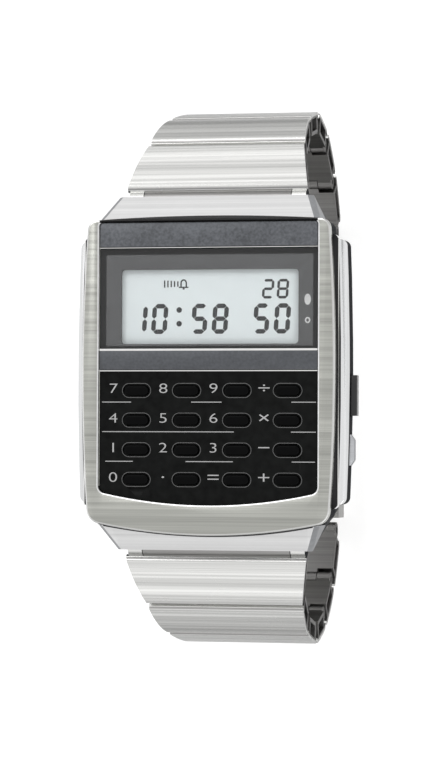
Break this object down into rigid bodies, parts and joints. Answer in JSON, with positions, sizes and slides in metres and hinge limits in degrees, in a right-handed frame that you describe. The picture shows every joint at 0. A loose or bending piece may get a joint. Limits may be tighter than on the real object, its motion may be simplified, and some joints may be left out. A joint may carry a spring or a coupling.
{
  "type": "calculator watch",
  "caption": "Square digital calculator watch with a pill-key keypad, a brushed steel case and a folded-link bracelet with a folding clasp.",
  "frame": {"origin": "centre of the clasp cover's flat outer face, on which the watch stands with its dial up", "axes": "+Z out of the dial, +Y towards 12 o'clock, +X towards 3 o'clock, the side with the pushers"},
  "size_m": [0.0352, 0.0694, 0.0518],
  "materials": {
    "brushed_steel": "brushed",
    "battery_steel": "satin",
    "clear_window": "clear, polished",
    "display_glass": "pale grey display cell",
    "reflector_foil": "satin",
    "dial_gunmetal": "satin metallic grey",
    "surround_dark": "matte",
    "keypad_black": "semi-gloss",
    "key_black": "gloss",
    "pusher_black": "gloss",
    "black_rubber": "matte",
    "module_plastic": "matte",
    "board_green": "solder mask",
    "component_black": "matte",
    "buzzer_brass": "satin"
  },
  "bodies": {
    "case": {"mid_case": "brushed_steel", "face_plate": "brushed_steel", "upper_hood": "brushed_steel", "lower_hood": "brushed_steel", "display_window": "clear_window", "window_gasket": "black_rubber", "display_surround": "surround_dark", "upper_band": "dial_gunmetal", "lower_band": "dial_gunmetal", "keypad_plate": "keypad_black", "key_membrane": "black_rubber", "lcd_panel": "display_glass", "lcd_reflector": "reflector_foil", "connector_strips": "black_rubber", "display_holder": "module_plastic", "circuit_board": "board_green", "chip_and_quartz": "component_black", "module_frame": "module_plastic", "battery": "battery_steel", "battery_clip": "brushed_steel", "buzzer_disc": "buzzer_brass", "side_contacts": "brushed_steel", "case_back": "brushed_steel", "case_back_gasket": "black_rubber", "case_back_screws": "brushed_steel", "spring_bars": "brushed_steel", "pusher_seals": "black_rubber"},
    "key_7": {"key_7": "key_black"},
    "key_8": {"key_8": "key_black"},
    "key_9": {"key_9": "key_black"},
    "key_divide": {"key_divide": "key_black"},
    "key_4": {"key_4": "key_black"},
    "key_5": {"key_5": "key_black"},
    "key_6": {"key_6": "key_black"},
    "key_times": {"key_times": "key_black"},
    "key_1": {"key_1": "key_black"},
    "key_2": {"key_2": "key_black"},
    "key_3": {"key_3": "key_black"},
    "key_minus": {"key_minus": "key_black"},
    "key_0": {"key_0": "key_black"},
    "key_point": {"key_point": "key_black"},
    "key_equals": {"key_equals": "key_black"},
    "key_plus": {"key_plus": "key_black"},
    "mode_pusher": {"mode_pusher": "pusher_black"},
    "adjust_pusher": {"adjust_pusher": "brushed_steel"},
    "upper_link_1": {"upper_link_1": "brushed_steel"},
    "upper_link_2": {"upper_link_2": "brushed_steel"},
    "upper_link_3": {"upper_link_3": "brushed_steel"},
    "upper_link_4": {"upper_link_4": "brushed_steel"},
    "upper_link_5": {"upper_link_5": "brushed_steel"},
    "upper_link_6": {"upper_link_6": "brushed_steel"},
    "lower_link_1": {"lower_link_1": "brushed_steel"},
    "lower_link_2": {"lower_link_2": "brushed_steel"},
    "lower_link_3": {"lower_link_3": "brushed_steel"},
    "lower_link_4": {"lower_link_4": "brushed_steel"},
    "lower_link_5": {"lower_link_5": "brushed_steel"},
    "lower_link_6": {"lower_link_6": "brushed_steel"},
    "clasp_inner_blade": {"clasp_inner_blade": "brushed_steel"},
    "clasp_outer_blade": {"clasp_outer_blade": "brushed_steel"},
    "clasp_cover": {"clasp_cover": "brushed_steel"}
  },
  "joints": [
    {"name": "key_7_press", "type": "slide", "parent": "case", "child": "key_7", "axis": [0, 0, -1], "range_m": [0, 0.00045], "stiffness_N_per_m": 500},
    {"name": "key_8_press", "type": "slide", "parent": "case", "child": "key_8", "axis": [0, 0, -1], "range_m": [0, 0.00045], "stiffness_N_per_m": 500},
    {"name": "key_9_press", "type": "slide", "parent": "case", "child": "key_9", "axis": [0, 0, -1], "range_m": [0, 0.00045], "stiffness_N_per_m": 500},
    {"name": "key_divide_press", "type": "slide", "parent": "case", "child": "key_divide", "axis": [0, 0, -1], "range_m": [0, 0.00045], "stiffness_N_per_m": 500},
    {"name": "key_4_press", "type": "slide", "parent": "case", "child": "key_4", "axis": [0, 0, -1], "range_m": [0, 0.00045], "stiffness_N_per_m": 500},
    {"name": "key_5_press", "type": "slide", "parent": "case", "child": "key_5", "axis": [0, 0, -1], "range_m": [0, 0.00045], "stiffness_N_per_m": 500},
    {"name": "key_6_press", "type": "slide", "parent": "case", "child": "key_6", "axis": [0, 0, -1], "range_m": [0, 0.00045], "stiffness_N_per_m": 500},
    {"name": "key_times_press", "type": "slide", "parent": "case", "child": "key_times", "axis": [0, 0, -1], "range_m": [0, 0.00045], "stiffness_N_per_m": 500},
    {"name": "key_1_press", "type": "slide", "parent": "case", "child": "key_1", "axis": [0, 0, -1], "range_m": [0, 0.00045], "stiffness_N_per_m": 500},
    {"name": "key_2_press", "type": "slide", "parent": "case", "child": "key_2", "axis": [0, 0, -1], "range_m": [0, 0.00045], "stiffness_N_per_m": 500},
    {"name": "key_3_press", "type": "slide", "parent": "case", "child": "key_3", "axis": [0, 0, -1], "range_m": [0, 0.00045], "stiffness_N_per_m": 500},
    {"name": "key_minus_press", "type": "slide", "parent": "case", "child": "key_minus", "axis": [0, 0, -1], "range_m": [0, 0.00045], "stiffness_N_per_m": 500},
    {"name": "key_0_press", "type": "slide", "parent": "case", "child": "key_0", "axis": [0, 0, -1], "range_m": [0, 0.00045], "stiffness_N_per_m": 500},
    {"name": "key_point_press", "type": "slide", "parent": "case", "child": "key_point", "axis": [0, 0, -1], "range_m": [0, 0.00045], "stiffness_N_per_m": 500},
    {"name": "key_equals_press", "type": "slide", "parent": "case", "child": "key_equals", "axis": [0, 0, -1], "range_m": [0, 0.00045], "stiffness_N_per_m": 500},
    {"name": "key_plus_press", "type": "slide", "parent": "case", "child": "key_plus", "axis": [0, 0, -1], "range_m": [0, 0.00045], "stiffness_N_per_m": 500},
    {"name": "mode_pusher_press", "type": "slide", "parent": "case", "child": "mode_pusher", "axis": [-1, 0, 0], "range_m": [0, 0.0007], "stiffness_N_per_m": 500},
    {"name": "adjust_pusher_press", "type": "slide", "parent": "case", "child": "adjust_pusher", "axis": [-1, 0, 0], "range_m": [0, 0.0007], "stiffness_N_per_m": 500},
    {"name": "upper_hinge_1", "type": "hinge", "parent": "case", "child": "upper_link_1", "pos_m": [0, 0.0217, 0.04552], "axis": [1, 0, 0], "range_deg": [0, 38]},
    {"name": "upper_hinge_2", "type": "hinge", "parent": "upper_link_1", "child": "upper_link_2", "pos_m": [0, 0.02794, 0.0399], "axis": [1, 0, 0], "range_deg": [0, 23]},
    {"name": "upper_hinge_3", "type": "hinge", "parent": "upper_link_2", "child": "upper_link_3", "pos_m": [0, 0.03149, 0.03229], "axis": [1, 0, 0], "range_deg": [0, 15]},
    {"name": "upper_hinge_4", "type": "hinge", "parent": "upper_link_3", "child": "upper_link_4", "pos_m": [0, 0.03295, 0.02402], "axis": [1, 0, 0], "range_deg": [0, 21]},
    {"name": "upper_hinge_5", "type": "hinge", "parent": "upper_link_4", "child": "upper_link_5", "pos_m": [0, 0.03135, 0.01577], "axis": [1, 0, 0], "range_deg": [0, 20]},
    {"name": "upper_hinge_6", "type": "hinge", "parent": "upper_link_5", "child": "upper_link_6", "pos_m": [0, 0.02702, 0.00857], "axis": [1, 0, 0], "range_deg": [0, 21]},
    {"name": "lower_hinge_1", "type": "hinge", "parent": "case", "child": "lower_link_1", "pos_m": [0, -0.0217, 0.04552], "axis": [-1, 0, 0], "range_deg": [0, 38]},
    {"name": "lower_hinge_2", "type": "hinge", "parent": "lower_link_1", "child": "lower_link_2", "pos_m": [0, -0.02794, 0.0399], "axis": [-1, 0, 0], "range_deg": [0, 23]},
    {"name": "lower_hinge_3", "type": "hinge", "parent": "lower_link_2", "child": "lower_link_3", "pos_m": [0, -0.03149, 0.03229], "axis": [-1, 0, 0], "range_deg": [0, 15]},
    {"name": "lower_hinge_4", "type": "hinge", "parent": "lower_link_3", "child": "lower_link_4", "pos_m": [0, -0.03295, 0.02402], "axis": [-1, 0, 0], "range_deg": [0, 21]},
    {"name": "lower_hinge_5", "type": "hinge", "parent": "lower_link_4", "child": "lower_link_5", "pos_m": [0, -0.03135, 0.01577], "axis": [-1, 0, 0], "range_deg": [0, 20]},
    {"name": "lower_hinge_6", "type": "hinge", "parent": "lower_link_5", "child": "lower_link_6", "pos_m": [0, -0.02702, 0.00857], "axis": [-1, 0, 0], "range_deg": [0, 21]},
    {"name": "clasp_hinge", "type": "hinge", "parent": "upper_link_6", "child": "clasp_inner_blade", "pos_m": [0, 0.0204, 0.0034], "axis": [1, 0, 0], "range_deg": [0, 38]},
    {"name": "blade_fold", "type": "hinge", "parent": "clasp_inner_blade", "child": "clasp_outer_blade", "pos_m": [0, -0.0096, 0.00232], "axis": [-1, 0, 0], "range_deg": [0, 150]},
    {"name": "cover_swing", "type": "hinge", "parent": "clasp_outer_blade", "child": "clasp_cover", "pos_m": [0, 0.0204, 0.00125], "axis": [1, 0, 0], "range_deg": [0, 150]}
  ],
  "couplings": [
    {"joint": "cover_swing", "follows": "blade_fold", "ratio": 1}
  ]
}
